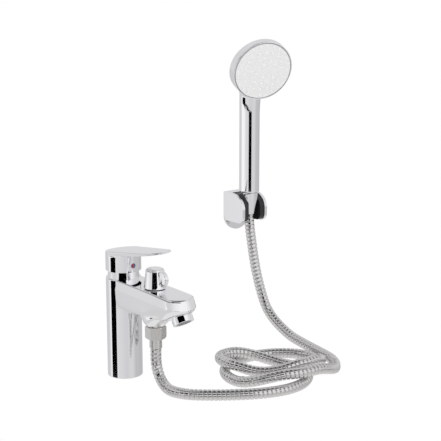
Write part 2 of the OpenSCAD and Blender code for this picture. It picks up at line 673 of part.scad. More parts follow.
// Side of the bracket: straight at the wall, rounded at the front, drawn in by inset.
function ear_side(back, inset) = concat([[back, ear_low + inset]],
  [for (t = [-90:9:0]) [ear_front - ear_foot_r + (ear_foot_r - inset) * cos(t),
    ear_low + ear_foot_r + (ear_foot_r - inset) * sin(t)]],
  [for (t = [0:9:90]) [ear_front - ear_round[0] + (ear_round[0] - inset) * cos(t),
    ear_top - ear_round[1] + (ear_round[1] - inset) * sin(t)]],
  [[back, ear_top - inset]]);

module side_slab(back, inset, w) translate([0, bracket_y + w / 2, 0]) rotate([90, 0, 0])
  linear_extrude(w) polygon(ear_side(back, inset));

module bracket_plate() color(chrome) difference() {
  intersection() {
    union() {
      translate([wall_x, bracket_y - bracket_w / 2, plate_low])
        cube([plate_t, bracket_w, ear_top - plate_low]);
      along_x([wall_x, bracket_y, plate_low]) cylinder(h = plate_t, r = bracket_w / 2, $fn = 128);
    }
    translate([wall_x, bracket_y - 50, 0]) cube([plate_t, 100, ear_top]);
  }
  for (z = [screw_z, screw_z + screw_gap]) along_x([wall_x - 1, bracket_y, z]) cylinder(h = 10, r = screw_r);
}

module bracket_shell() color(chrome) difference() {
  side_slab(wall_x + plate_t + 0.02, 0, bracket_w);
  translate([pocket_x, bracket_y - bracket_w / 2 + ear_t, ear_low - 1])
    cube([60, bracket_w - 2 * ear_t, ear_top]);
  for (z = [screw_z, screw_z + screw_gap])
    along_x([wall_x + plate_t - 1, bracket_y, z]) cylinder(h = 20, r = 2 * screw_r);
  translate([pocket_x - 4, grub_y, ear_low - 1]) cylinder(h = 10, r = grub_r + seat);
}

module bracket_cradle() color(black) difference() {
  side_slab(pocket_x + seat, 1.2, bracket_w - 2 * ear_t - 2 * seat);
  translate([bracket_x, bracket_y, cone_z - cone_h]) cylinder(h = 2 * cone_h,
    r1 = 2 * cone_r - cone_top_r + slip, r2 = cone_top_r + slip);
  translate([bracket_x, bracket_y, cone_z + cone_h]) cylinder(h = 40, r = cone_top_r + slip);
  translate([bracket_x, bracket_y - mouth_w / 2, ear_low - 1]) cube([40, mouth_w, ear_top]);
}

module bracket_screw() color(nickel)
  translate([pocket_x - 4, grub_y, ear_low]) cylinder(h = 7, r = grub_r);

mixer_body();
base_seal();
cartridge_housing();
cartridge_seals();
fixed_disc();
moving_disc();
cartridge_carrier();
pivot_pin();
lever_spindle();
retaining_nut();
trim_ring();
lever_handle();
handle_screw();
index_hot();
index_cold();
diverter_bonnet();
diverter_stem();
diverter_plug();
diverter_knob();
knob_cap();
aerator_housing();
aerator_insert();
aerator_washer();
outlet_nipple();
check_valve();
tap_washer();
hose_nut();
hose_ferrule();
hose_drop();
hose_coil();
hose_rise();
hose_insert();
shower_washer();
cone_nut();
shower_shell();
shower_face();
rim_seal();
nozzle_mat();
bracket_plate();
bracket_shell();
bracket_cradle();
bracket_screw();
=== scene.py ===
# %% [markdown]
# # A bath shower mixer, from CAD frame to picture
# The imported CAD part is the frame: every solid has its real size and its joints. This lesson dresses
# that frame for the camera. Chrome shows every flat facet, so the curved castings are drawn again here
# from the same sizes, only with more points. All lengths are in metres, so sizes in millimetres are
# multiplied by mm.

import json
import math

import bmesh
import bpy
import numpy as np
from mathutils import Matrix, Vector


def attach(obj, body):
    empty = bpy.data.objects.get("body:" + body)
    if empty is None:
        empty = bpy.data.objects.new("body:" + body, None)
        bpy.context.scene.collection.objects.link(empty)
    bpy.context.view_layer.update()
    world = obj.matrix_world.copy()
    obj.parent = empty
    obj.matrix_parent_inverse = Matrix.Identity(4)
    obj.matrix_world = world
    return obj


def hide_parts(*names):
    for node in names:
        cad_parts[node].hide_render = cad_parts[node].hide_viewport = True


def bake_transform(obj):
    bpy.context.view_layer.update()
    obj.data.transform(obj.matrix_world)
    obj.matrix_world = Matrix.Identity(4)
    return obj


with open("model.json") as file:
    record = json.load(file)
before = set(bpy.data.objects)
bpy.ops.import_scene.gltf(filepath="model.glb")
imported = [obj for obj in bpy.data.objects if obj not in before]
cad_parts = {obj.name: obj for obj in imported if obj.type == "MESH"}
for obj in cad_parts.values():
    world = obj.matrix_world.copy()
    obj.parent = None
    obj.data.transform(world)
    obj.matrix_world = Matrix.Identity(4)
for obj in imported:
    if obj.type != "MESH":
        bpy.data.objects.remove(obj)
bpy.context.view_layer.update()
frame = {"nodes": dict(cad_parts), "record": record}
mm = 0.001
scene = bpy.context.scene
BASE = "tap_and_bracket"

# %% [markdown]
# ## Camera
# The photo was taken with a long lens from a little above. A camera could be aimed at a point with a
# constraint. Here its place was worked out from the ellipses at the column's foot and the size of the hand
# shower, and it looks along a heading and a small downward pitch. So its turn is written from those two
# angles, and each of them can be fitted by itself.

# %% Camera
camera_data = bpy.data.cameras.new("photo_camera")
camera = bpy.data.objects.new("photo_camera", camera_data)
scene.collection.objects.link(camera)
camera.location = (1.1741, -0.7625, 0.515)
heading = math.radians(141.96)
pitch = math.radians(-12.65)
camera.rotation_euler = (math.pi / 2 + pitch, 0, heading - math.pi / 2)
camera_data.sensor_width = 36
camera_data.lens = 92.98
camera_data.clip_end = 20
scene.camera = camera
print("camera lens", camera_data.lens)

# %% [markdown]
# ## The hose's route
# The hose brings water from the tap's outlet to the hand shower. It drops from the outlet, runs along the
# deck, lies in two laps and climbs to the bracket. It could be left to a rope simulation, but then it would
# not lie as in the photo. So the two free ends go through listed points. The laps are half turns:
# each goes from one end point to the next with a bulge to one side, and a hump lifts it where it crosses
# another. The route is the CAD part's own.

# %% Hose route
lap_ends = np.array([[50, -10], [-62, 6], [70, 22], [-56, -4], [88, 18]], float)
lap_bulge = [32, -42, 54, -64]
hose_r = 6.8
floor_z = hose_r + 0.4
lap_lift = 2 * hose_r + 1
lap_centre = np.array([120, 140])
lap_turn = math.radians(52.3)
lap_steps = 24


def smooth(x):
    t = min(1, max(0, x))
    return t * t * (3 - 2 * t)


def hump(s, a, b, c, d):
    return smooth((s - a) / (b - a)) * (1 - smooth((s - c) / (d - c)))


def lap(s):
    k = min(len(lap_bulge) - 1, int(s))
    t = (s - k) * math.pi
    mid = (lap_ends[k] + lap_ends[k + 1]) / 2
    half = (lap_ends[k] - lap_ends[k + 1]) / 2
    r = mid[0] + half[0] * math.cos(t)
    w = mid[1] + half[1] * math.cos(t) + lap_bulge[k] * math.sin(t)
    x = lap_centre[0] + r * math.cos(lap_turn) - w * math.sin(lap_turn)
    y = lap_centre[1] + r * math.sin(lap_turn) + w * math.cos(lap_turn)
    lift = hump(s, 0.3, 0.75, 1.2, 1.6) + hump(s, 1.35, 1.7, 1.8, 2.15) + hump(s, 3.2, 3.54, 3.68, 3.98)
    return [x, y, floor_z + lap_lift * lift]


laps = [lap(i / lap_steps) for i in range(len(lap_bulge) * lap_steps + 1)]
print("laps", len(laps), "points")

# %% Hose ends
drop_points = [[70, 0, 76.6], [70, 0, 64.6], [70, 0, 49], [70, 0, 37], [72.5, 0, 26], [79, 0, 16],
               [89, -1, 10], [102, -2, 7.8], [116, 2, 7.4], [130, 12, 7.2], [145, 29, 7.2], [159, 48, 7.2],
               [172, 69, 7.2], [182, 92, 7.2], [187, 115, 7.2], [185, 137, 7.2], [176, 156, 7.2],
               laps[0], laps[4]]
rise_points = [laps[-5], laps[-1], [146, 229.5, 7.8], [132, 232.5, 9], [110, 233.5, 10.8], [84, 233.5, 13.6],
               [58, 233, 18], [34, 232.5, 27.5], [16.5, 232, 38.5], [4, 232, 52], [-6.5, 232, 72],
               [-14.9, 232, 93], [-21.3, 232, 115], [-26.3, 232, 137], [-30.2, 232, 156], [-32, 232, 171],
               [-32, 232, 183], [-32, 232, 193.2], [-32, 232, 203.2]]


def spline(points, n):
    """A smooth line through all but the first and last of the points, n steps for each."""
    p = np.array(points, float)
    out = []
    for i in range(1, len(p) - 2):
        a, b, c, d = p[i - 1], p[i], p[i + 1], p[i + 2]
        for t in np.arange(n) / n:
            out.append((2 * b + (c - a) * t + (2 * a - 5 * b + 4 * c - d) * t * t
                        + (3 * b - a - 3 * c + d) * t ** 3) / 2)
    return out


route = np.array(spline(drop_points, 5) + laps[:-1] + spline(rise_points, 5) + [rise_points[-2]]) * mm

# %% [markdown]
# ## Geometry Nodes helpers
# Geometry Nodes suit what repeats or follows a path. A tree is built by adding nodes and joining sockets.
# Three helpers keep that readable: one adds a node with its settings, one starts a group with named inputs,
# and one runs a group on an object and keeps the result as a plain mesh. Inputs are set on the modifier by
# their identifier, which is found from their name.

# %% Node helpers
def add(tree, kind, **settings):
    node = tree.nodes.new(kind)
    for key, value in settings.items():
        setattr(node, key, value)
    return node


def node_group(name, inputs):
    tree = bpy.data.node_groups.new(name, "GeometryNodeTree")
    tree.interface.new_socket("Geometry", in_out="INPUT", socket_type="NodeSocketGeometry")
    for label, kind in inputs:
        tree.interface.new_socket(label, in_out="INPUT", socket_type=kind)
    tree.interface.new_socket("Geometry", in_out="OUTPUT", socket_type="NodeSocketGeometry")
    return tree, add(tree, "NodeGroupInput"), add(tree, "NodeGroupOutput")


def bake(source, tree, values, name):
    """Runs the group on a source object and returns the result as a plain mesh object."""
    modifier = source.modifiers.new("nodes", "NODES")
    modifier.node_group = tree
    for item in tree.interface.items_tree:
        if item.item_type == "SOCKET" and item.in_out == "INPUT" and item.name in values:
            modifier[item.identifier] = values[item.name]
    bpy.context.view_layer.update()
    depsgraph = bpy.context.evaluated_depsgraph_get()
    mesh = bpy.data.meshes.new_from_object(source.evaluated_get(depsgraph), depsgraph=depsgraph)
    bpy.data.objects.remove(source)
    mesh.name = name
    made = bpy.data.objects.new(name, mesh)
    scene.collection.objects.link(made)
    print(name, len(mesh.polygons), "faces")
    return made


# %% [markdown]
# ## Chrome, nickel and plastics
# Polished chrome is a metal with hardly any roughness. Its tone is all reflection, so the base colour is a
# light neutral grey, and its look is made by the room round it. The hose and its nut are nickel: the same
# metal, a little darker and rougher. The nozzles are white rubber, softer than the face. A fine unevenness
# is shared by the satin finishes through one node group that returns a normal. It is cheaper than real
# relief, and too small to change an outline.

# %% Shared bump group
grain = bpy.data.node_groups.new("fine_grain", "ShaderNodeTree")
for label, default in (("Scale", 900.0), ("Strength", 0.05)):
    socket = grain.interface.new_socket(label, in_out="INPUT", socket_type="NodeSocketFloat")
    socket.default_value = default
grain.interface.new_socket("Normal", in_out="OUTPUT", socket_type="NodeSocketVector")
grain_in, grain_out = add(grain, "NodeGroupInput"), add(grain, "NodeGroupOutput")
coordinates = add(grain, "ShaderNodeTexCoord")
noise = add(grain, "ShaderNodeTexNoise")
noise.inputs["Detail"].default_value = 2
bump = add(grain, "ShaderNodeBump")
bump.inputs["Distance"].default_value = 0.0002
grain.links.new(coordinates.outputs["Object"], noise.inputs["Vector"])
grain.links.new(grain_in.outputs["Scale"], noise.inputs["Scale"])
grain.links.new(grain_in.outputs["Strength"], bump.inputs["Strength"])
grain.links.new(noise.outputs["Fac"], bump.inputs["Height"])
grain.links.new(bump.outputs["Normal"], grain_out.inputs["Normal"])
print("grain group", len(grain.nodes), "nodes")

# %% Materials
def material(name, colour, metallic, roughness, grain_strength=0.0):
    made = bpy.data.materials.new(name)
    made.use_nodes = True
    shader = made.node_tree.nodes["Principled BSDF"]
    shader.inputs["Base Color"].default_value = (*colour, 1)
    shader.inputs["Metallic"].default_value = metallic
    shader.inputs["Roughness"].default_value = roughness
    if grain_strength:
        group = add(made.node_tree, "ShaderNodeGroup")
        group.node_tree = grain
        group.inputs["Strength"].default_value = grain_strength
        made.node_tree.links.new(group.outputs["Normal"], shader.inputs["Normal"])
    return made


finish = {
    "chrome": material("chrome", (0.93, 0.93, 0.945), 1, 0.045),
    "nickel": material("satin_nickel", (0.74, 0.725, 0.70), 1, 0.24, 0.004),
    "hose": material("hose_metal", (0.72, 0.71, 0.70), 1, 0.11),
    "brass": material("brass", (0.80, 0.60, 0.30), 1, 0.25),
    "rubber": material("black_rubber", (0.02, 0.02, 0.022), 0, 0.6, 0.2),
    "white_plastic": material("white_plastic", (0.86, 0.86, 0.86), 0, 0.3),
    "soft_white": material("nozzle_rubber", (0.95, 0.95, 0.95), 0, 0.5, 0.05),
    "black_plastic": material("black_plastic", (0.012, 0.012, 0.013), 0, 0.35, 0.15),
    # The seal ring round the shower's face, in grey_plastic, is a real part, but its dark grey is painted
    # shade for the gap round the face.
    "grey_plastic": material("grey_plastic", (0.33, 0.34, 0.36), 0, 0.4, 0.1),
    "ceramic": material("ceramic", (0.85, 0.82, 0.76), 0, 0.25),
    "hot_red": material("hot_red", (0.30, 0.05, 0.06), 0, 0.15),
    "cold_blue": material("cold_blue", (0.10, 0.12, 0.30), 0, 0.15),
}
print("materials", len(finish))

# %% [markdown]
# ## The metal hose
# A shower hose is a strip of metal wound and hooked into itself, so its ribs run round it in a screw line.
# Separate rings along a curve would be simpler, but a ring meets the hose square on and the screw would be
# lost. So a curve becomes a tube with Curve to Mesh. Each point of the tube knows how far along the hose it
# is and where it is round it. The two together give its place on the screw line, and a narrow groove is
# pressed in there along the normal.

# %% Hose node tree
tree, given, result = node_group("screw_ribbed_hose", [
    ("Pitch", "NodeSocketFloat"), ("Radius", "NodeSocketFloat"), ("Depth", "NodeSocketFloat"),
    ("Step", "NodeSocketFloat"), ("Material", "NodeSocketMaterial")])
resample = add(tree, "GeometryNodeResampleCurve", mode="LENGTH")
along = add(tree, "GeometryNodeSplineParameter")
keep_along = add(tree, "GeometryNodeStoreNamedAttribute", data_type="FLOAT", domain="POINT")
keep_along.inputs["Name"].default_value = "along"
circle = add(tree, "GeometryNodeCurvePrimitiveCircle")
circle.inputs["Resolution"].default_value = 24
around = add(tree, "GeometryNodeSplineParameter")
keep_around = add(tree, "GeometryNodeStoreNamedAttribute", data_type="FLOAT", domain="POINT")
keep_around.inputs["Name"].default_value = "around"
sweep = add(tree, "GeometryNodeCurveToMesh")
sweep.inputs["Fill Caps"].default_value = True
for a, b in ((given.outputs["Geometry"], resample.inputs["Curve"]),
             (given.outputs["Step"], resample.inputs["Length"]),
             (resample.outputs["Curve"], keep_along.inputs["Geometry"]),
             (along.outputs["Length"], keep_along.inputs["Value"]),
             (given.outputs["Radius"], circle.inputs["Radius"]),
             (circle.outputs["Curve"], keep_around.inputs["Geometry"]),
             (around.outputs["Factor"], keep_around.inputs["Value"]),
             (keep_along.outputs["Geometry"], sweep.inputs["Curve"]),
             (keep_around.outputs["Geometry"], sweep.inputs["Profile Curve"])):
    tree.links.new(a, b)
print("tube", len(tree.nodes), "nodes")

# %% Groove along the screw line
read_along = add(tree, "GeometryNodeInputNamedAttribute", data_type="FLOAT")
read_along.inputs["Name"].default_value = "along"
read_around = add(tree, "GeometryNodeInputNamedAttribute", data_type="FLOAT")
read_around.inputs["Name"].default_value = "around"
turns = add(tree, "ShaderNodeMath", operation="DIVIDE")
phase = add(tree, "ShaderNodeMath", operation="SUBTRACT")
wave = add(tree, "ShaderNodeMath", operation="PINGPONG")
wave.inputs[1].default_value = 0.5
groove = add(tree, "ShaderNodeMapRange", interpolation_type="SMOOTHSTEP")
for socket, value in (("From Min", 0.02), ("From Max", 0.16), ("To Min", -1.0), ("To Max", 0.0)):
    groove.inputs[socket].default_value = value
depth = add(tree, "ShaderNodeMath", operation="MULTIPLY")
normal = add(tree, "GeometryNodeInputNormal")
push = add(tree, "ShaderNodeVectorMath", operation="SCALE")
move = add(tree, "GeometryNodeSetPosition")
shade = add(tree, "GeometryNodeSetShadeSmooth")
realize = add(tree, "GeometryNodeRealizeInstances")
paint = add(tree, "GeometryNodeSetMaterial")
for a, b in ((read_along.outputs["Attribute"], turns.inputs[0]), (given.outputs["Pitch"], turns.inputs[1]),
             (turns.outputs[0], phase.inputs[0]), (read_around.outputs["Attribute"], phase.inputs[1]),
             (phase.outputs[0], wave.inputs[0]), (wave.outputs[0], groove.inputs["Value"]),
             (groove.outputs["Result"], depth.inputs[0]), (given.outputs["Depth"], depth.inputs[1]),
             (normal.outputs["Normal"], push.inputs["Vector"]), (depth.outputs[0], push.inputs["Scale"]),
             (sweep.outputs["Mesh"], move.inputs["Geometry"]),
             (push.outputs["Vector"], move.inputs["Offset"]),
             (move.outputs["Geometry"], shade.inputs["Geometry"]),
             (shade.outputs["Geometry"], realize.inputs["Geometry"]),
             (realize.outputs["Geometry"], paint.inputs["Geometry"]),
             (given.outputs["Material"], paint.inputs["Material"]),
             (paint.outputs["Geometry"], result.inputs["Geometry"])):
    tree.links.new(a, b)
print("tube and groove", len(tree.nodes), "nodes")

# %% Hose
hose_curve = bpy.data.curves.new("hose_line", "CURVE")
hose_curve.dimensions = "3D"
line = hose_curve.splines.new("POLY")
line.points.add(len(route) - 1)
line.points.foreach_set("co", np.c_[route, np.ones(len(route))].ravel())
hose_source = bpy.data.objects.new("hose_line", hose_curve)
scene.collection.objects.link(hose_source)
hose = bake(hose_source, tree, {"Pitch": 5.45 * mm, "Radius": hose_r * mm, "Depth": 1.2 * mm,
                                "Step": 0.36 * mm, "Material": finish["hose"]}, "shower_hose")
for name in ("along", "around"):
    if name in hose.data.attributes:
        hose.data.attributes.remove(hose.data.attributes[name])
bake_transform(hose)
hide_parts("hose_drop", "hose_coil", "hose_rise")

# %% [markdown]
# ## Smooth lofts
# The castings could be smoothed with a Subdivision Surface, but that would draw them in and round their
# edges. Instead they are skins over a stack of rings, as in the CAD part. That has few rings; here its layer
# tables are eased with a spline, each ring gets more points, and the edges get small fillets, which catch
# the light.

# %% Loft helpers
def round_angles(n):
    return 2 * math.pi * np.arange(n) / n


def ease(table, n):
    """A table of layers with n steps from each to the next, through the layers themselves."""
    t = np.array(table, float)
    t = np.vstack([2 * t[0] - t[1], t, 2 * t[-1] - t[-2]])
    return np.array(spline(t, n) + [t[-2]])


def loft(name, rings, look, caps=(True, True), sharp=35):
    """A mesh through rings of points with the same count, in millimetres."""
    n = len(rings[0])
    points = np.vstack(rings) * mm
    faces = [(j * n + i, j * n + (i + 1) % n, (j + 1) * n + (i + 1) % n, (j + 1) * n + i)
             for j in range(len(rings) - 1) for i in range(n)]
    if caps[0]:
        faces.append(tuple(range(n - 1, -1, -1)))
    if caps[1]:
        faces.append(tuple((len(rings) - 1) * n + i for i in range(n)))
    mesh = bpy.data.meshes.new(name)
    mesh.from_pydata(points.tolist(), [], faces)
    mesh.shade_smooth()
    mesh.set_sharp_from_angle(angle=math.radians(sharp))
    made = bpy.data.objects.new(name, mesh)
    made.data.materials.append(finish[look])
    scene.collection.objects.link(made)
    print(name, len(faces), "faces")
    return made


# %% [markdown]
# ## Mixer body
# The column, the spout and the cone down to the hose are one casting. One loft could not turn from the
# upright column into the level spout, so each is a skin of its own and they meet inside. The layers of the
# spout say, at each depth below the flat top, how far its tip is set back, how much less its tip's radius is,
# and how much less its width at the column. Upwards they close into the rounded nose, and downwards they
# gather into the web that meets the column. The top edge is a fillet of a few close layers.

# %% Spout layers
column_r, spout_r, body_top, spout_reach, diverter_x = 22.5, 20.3, 130, 119.5, 70
under = [[46, 105.5, 17.6, 16.9], [44, 101.5, 14.9, 14.6], [41, 92.5, 11, 10.8], [38, 79.5, 8, 6.8],
         [35.5, 61.5, 6.6, 3.8], [33, 37.5, 6.2, 2], [31, 23.9, 5.7, 1.3], [28, 16.1, 4.7, 0.9],
         [24, 10.4, 3.1, 0.7], [20, 5.5, 1.6, 0.6], [16, 1.8, 0.5, 0.5], [12, 0, 0, 0.4]]
over = [[12, 0, 0, 0.4], [8, 0.9, 0.4, 0.8], [4, 1.95, 0.85, 1.2], [2.6, 2.3, 1, 1.35]]
top_edge = [[1.6, 2.5, 1.3, 1.45], [0.9, 2.75, 1.7, 1.6], [0.4, 2.95, 2.2, 1.85], [0.1, 3.05, 2.8, 2.2],
            [0, 3.1, 3.5, 2.7], [0, 3.1, 3.9, 3.1]]
spout_layers = np.vstack([ease(under, 8), ease(over, 8)[1:], top_edge])
print("spout layers", len(spout_layers))


# %% Spout skin
def spout_outline(c, r, back, tip_n=72, side_n=40, back_n=24):
    """A round tip, two sides that narrow late, and a round end inside the column."""
    tip = math.pi * (np.arange(tip_n + 1) / tip_n - 0.5)
    u = np.arange(1, side_n) / side_n
    half = r + (back - r) * (1 + np.cos(math.pi * u ** 4)) / 2
    rear = math.pi * (0.5 + np.arange(back_n + 1) / back_n)
    x = np.r_[c + r * np.cos(tip), c * u[::-1], back * np.cos(rear), c * u]
    y = np.r_[r * np.sin(tip), half[::-1], back * np.sin(rear), -half]
    return np.c_[x, y]


rings = []
for depth_in, setback, less, back_less in spout_layers:
    shape = spout_outline(spout_reach - setback, spout_r - less, spout_r - back_less)
    rings.append(np.c_[shape, np.full(len(shape), body_top - depth_in)])
spout = loft("spout", rings, "chrome", caps=(False, False))


# %% [markdown]
# ### Flat top
# The spout's top is flat, with a hole under the trim ring where the cartridge goes in. The hole could be cut
# with a Boolean, but that may leave slivers at the fillet. A triangle fill between the two outlines leaves
# the fillet as it is.

# %% Flat top
def flat_top(skin, hole_r, z, n=64):
    """Closes a skin's top with a flat face round a hole for the cartridge, on the column's axis."""
    work = bmesh.new()
    work.from_mesh(skin.data)
    rim = [edge for edge in work.edges if edge.is_boundary and min(v.co.z for v in edge.verts) > z - 1e-6]
    hole = [work.verts.new((hole_r * math.cos(a), hole_r * math.sin(a), z))
            for a in round_angles(n)]
    rim += [work.edges.new((hole[i - 1], hole[i])) for i in range(n)]
    filled = bmesh.ops.triangle_fill(work, use_beauty=True, edges=rim, normal=(0, 0, 1))
    for face in work.faces:
        face.smooth = True
    work.to_mesh(skin.data)
    work.free()
    skin.data.set_sharp_from_angle(angle=math.radians(40))
    print("top", len(filled["geom"]), "new edges and faces")


cartridge_hole_r = 15.2
flat_top(spout, cartridge_hole_r * mm, body_top * mm)


# %% [markdown]
# ### Column and foot
# The column is turned, with a small fillet at each end. Its foot is hollow, with a groove for the seal and
# the holes for the supply tails and the stud. They could be bored with Booleans. But they are round and
# hidden, so they are taken from the CAD part: the faces near the column's axis and low down.

# %% Copies of CAD meshes
def cad_mesh(node, keep=None):
    """A node's own mesh with its points joined, smooth up to a sharp angle. With keep, a test, only the
    faces that pass it are left."""
    source = frame["nodes"][node]
    mesh = source.data.copy()
    mesh.transform(source.matrix_world)
    if mesh.has_custom_normals:
        mesh.attributes.remove(mesh.attributes["custom_normal"])
    work = bmesh.new()
    work.from_mesh(mesh)
    bmesh.ops.remove_doubles(work, verts=work.verts, dist=2e-6)
    if keep:
        bmesh.ops.delete(work, geom=[face for face in work.faces if not keep(face)], context="FACES")
    else:
        bmesh.ops.dissolve_limit(work, angle_limit=math.radians(0.5), verts=work.verts, edges=work.edges)
    work.to_mesh(mesh)
    work.free()
    mesh.shade_smooth()
    mesh.set_sharp_from_angle(angle=math.radians(28))
    mesh.materials.clear()
    return mesh


# %% Foot
groove_r, foot_top = 20.4, 56


def in_foot(face):
    near = all(math.hypot(v.co.x, v.co.y) < (groove_r + 0.1) * mm for v in face.verts)
    return near and all(v.co.z < foot_top * mm for v in face.verts)


foot = bpy.data.objects.new("foot_hollow", cad_mesh("mixer_body", in_foot))
foot.data.materials.append(finish["chrome"])
scene.collection.objects.link(foot)
print("foot", len(foot.data.polygons), "faces")


# %% Column
def turned(profile, n=128, centre=(0, 0)):
    """Rings of a turned form, from (radius, height) pairs."""
    t = round_angles(n)
    return [np.c_[centre[0] + r * np.cos(t), centre[1] + r * np.sin(t), np.full(n, float(z))]
            for r, z in profile]


column_profile = [(groove_r, 0), (22.1, 0), (22.4, 0.1), (22.5, 0.4), (22.5, 0.8), (22.5, 128.8),
                  (22.5, 129.2), (22.4, 129.6), (22.1, 129.9), (21.7, 129.97), (15, 129.97)]
column = loft("column", turned(column_profile), "chrome", caps=(False, False))

# %% [markdown]
# ### Outlet boss
# The outlet's boss flares from the round end that takes the hose into the underside of the spout. A plain
# cone would meet the spout in a hard line, so its rings are ellipses that grow along the spout. Its layers
# give a depth below the top, half its length along the spout and half its width.

# %% Boss and body
def join(name, *objects):
    """One object from several, with the first one's name and materials."""
    with bpy.context.temp_override(active_object=objects[0], selected_editable_objects=list(objects)):
        bpy.ops.object.join()
    objects[0].name = name
    return objects[0]


boss_layers = [[47.6, 11.3, 11.3], [47.3, 11.6, 11.6], [44, 14.8, 14.1], [40, 19.5, 15.5], [36, 26, 15.9],
               [33, 31, 15.7], [29, 34, 15]]
t = round_angles(96)
rings = [np.c_[diverter_x + long * np.cos(t), wide * np.sin(t), np.full(96, body_top - depth_in)]
         for depth_in, long, wide in ease(boss_layers, 6)]
boss = loft("outlet_boss", rings, "chrome", caps=(True, False))
body = join("mixer_skin", spout, column, boss, foot)
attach(body, BASE)
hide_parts("mixer_body")

# %% [markdown]
# ## Lever
# The lever is one casting too: a round skirt that turns on the trim ring and flows into a thin sloping plate.
# Two pieces with a fillet between them would show a seam, so it is one loft. A ring is the outline round two
# circles: the skirt at one end and a smaller round tip at the other. The layers give the drop below the top
# in plate thicknesses, and shares of the reach, of the narrowing to the tip and of the slope. The rings are
# sheared, so the skirt stays upright while the slope grows from nothing to its full angle at the plate. The
# edge layers draw the outline in for a fillet.

# %% Lever outline
def outline(c, r, back, tip_n=72, back_n=96):
    a = math.acos(max(-1, min(1, (back - r) / c)))
    tip = -a + 2 * a * np.arange(tip_n + 1) / tip_n
    rear = a + (2 * math.pi - 2 * a) * np.arange(1, back_n) / back_n
    x = np.r_[c + r * np.cos(tip), back * np.cos(rear)]
    y = np.r_[r * np.sin(tip), back * np.sin(rear)]
    return np.c_[x, y]


# %% Lever
lever_z, lever_t, lever_reach, tip_r = 165.6, 4, 73.6, 18
slope = math.tan(math.radians(8.7))
lever_layers = [[6.475, 0.004, 0, 0], [3.8, 0.004, 0, 0.5], [2.3, 0.004, 0, 1], [1.95, 0.01, 0.03, 1],
                [1.72, 0.034, 0.16, 1], [1.56, 0.1, 0.41, 1], [1.46, 0.22, 0.61, 1], [1.34, 0.5, 0.88, 1],
                [1.16, 0.72, 1.06, 1], [0.92, 0.9, 1.12, 1], [0.6, 0.98, 1.06, 1], [0.28, 1, 1, 1]]
table = np.vstack([lever_layers[:2], ease(lever_layers[2:], 8)])
table = np.c_[table, np.zeros(len(table))]
lever_edge = [[0.22, 1, 1, 1, 0.06], [0.15, 1, 1, 1, 0.2], [0.085, 1, 1, 1, 0.48], [0.035, 1, 1, 1, 0.9],
              [0.008, 1, 1, 1, 1.4], [0, 1, 1, 1, 2]]
rings = []
for drop, part, less, share_of_slope, inset in np.vstack([table, lever_edge]):
    tip = column_r - less * (column_r - tip_r)
    shape = outline(max(0.3, part * lever_reach), tip - inset, column_r - inset)
    rings.append(np.c_[shape, lever_z - drop * lever_t + share_of_slope * slope * shape[:, 0]])
lever = loft("lever_skin", rings, "chrome", caps=(False, True), sharp=40)
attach(lever, "lever")
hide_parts("lever_handle")

# %% [markdown]
# ## Hand shower
# The grip is a plain tube. Its neck leans forward, grows wide and thin, and runs into the back of the round
# head. A bent tube would not flatten like that. So every ring of the neck is an ellipse set square to the way
# the neck goes there: how far ahead and up it lies, its lean, and how much wider and thinner than the grip it
# is. Chrome shows the least kink, so the eased layers are also smoothed along the neck, each with its
# neighbours. The whole hand shower is turned a little in its bracket.

# %% Grip and neck
shower_at = Matrix.Translation((-0.032, 0.232, 0)) @ Matrix.Rotation(math.radians(-16), 4, "Z")
face_at = Matrix.Translation((0.0445, 0, 0.377)) @ Matrix.Rotation(math.radians(110), 4, "Y")
grip_r, grip_z, neck_z = 14, 206, 305
neck = [[0, 0, 0, 0, 0], [0, 8, 0, 0, 0], [0.12, 14, 1, 0.08, 0], [0.4, 20, 2, 0.25, 0],
        [0.72, 26, 3, 0.46, 0], [1.37, 32, 5, 0.75, 0.2], [2.43, 38, 8, 1.2, 0.6], [6, 44, 15, 4.4, 1.8],
        [11.3, 50, 19, 9, 3.3], [16.8, 56, 20, 12.5, 5], [22.5, 65, 20, 14.5, 7.2], [28, 77, 20, 11, 12]]


def smoothed(table, reach=8):
    """Each row of a table averaged with its neighbours within reach, the near ones most."""
    window = np.hanning(2 * reach + 3)[1:-1]
    padded = np.pad(table, ((reach, reach), (0, 0)), mode="reflect", reflect_type="odd")
    return np.stack([np.convolve(numbers, window / window.sum(), "valid") for numbers in padded.T], 1)


t = round_angles(96)
rings = turned([(9, grip_z), (grip_r - 1.5, grip_z), (grip_r - 0.8, grip_z + 0.2),
                (grip_r - 0.2, grip_z + 0.8), (grip_r, grip_z + 1.6), (grip_r, grip_z + 2.2),
                (grip_r, neck_z - 20), (grip_r, neck_z - 8)], n=96)
for ahead, up, lean, wide, thin in smoothed(ease(neck, 8)):
    lean = math.radians(lean)
    d = (grip_r - thin) * np.cos(t)
    rings.append(np.c_[ahead + d * math.cos(lean), (grip_r + wide) * np.sin(t),
                       neck_z + up - d * math.sin(lean)])
grip = loft("grip", rings, "chrome", caps=(False, False))

# %% [markdown]
# ### Head
# The head is a disc that is thicker towards the neck. A scaled cylinder would be as thick all round, so it is
# a loft from the middle of the back out to the side. Its layers say how much less than the full radius a ring
# is, and its share of the thickness. A rounded rim stands round the white face.

# %% Head
head_r, head_t, head_wedge = 41.8, 18.5, 6
head_layers = [[40, 1], [20, 1], [6.4, 1], [3, 0.985], [1, 0.94], [0.2, 0.87], [0, 0.78], [0, 0.4]]
t = round_angles(160)
rings = [np.c_[(head_r - less) * np.cos(t), (head_r - less) * np.sin(t),
               -part * (head_t + head_wedge * (1 - less / head_r) * np.cos(t))]
         for less, part in ease(head_layers, 6)]
rim = [(41.8, -1.2), (41.8, -0.7), (41.6, -0.2), (41.1, 0), (40.7, -0.1), (40.4, -0.4), (40.3, -1),
       (40.3, -3)]
head = loft("head", rings + turned(rim, n=160), "chrome", caps=(True, False), sharp=50)
head.data.transform(shower_at @ face_at)
grip.data.transform(shower_at)
shower = join("shower_skin", grip, head)
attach(shower, "hand_shower")
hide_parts("shower_shell")

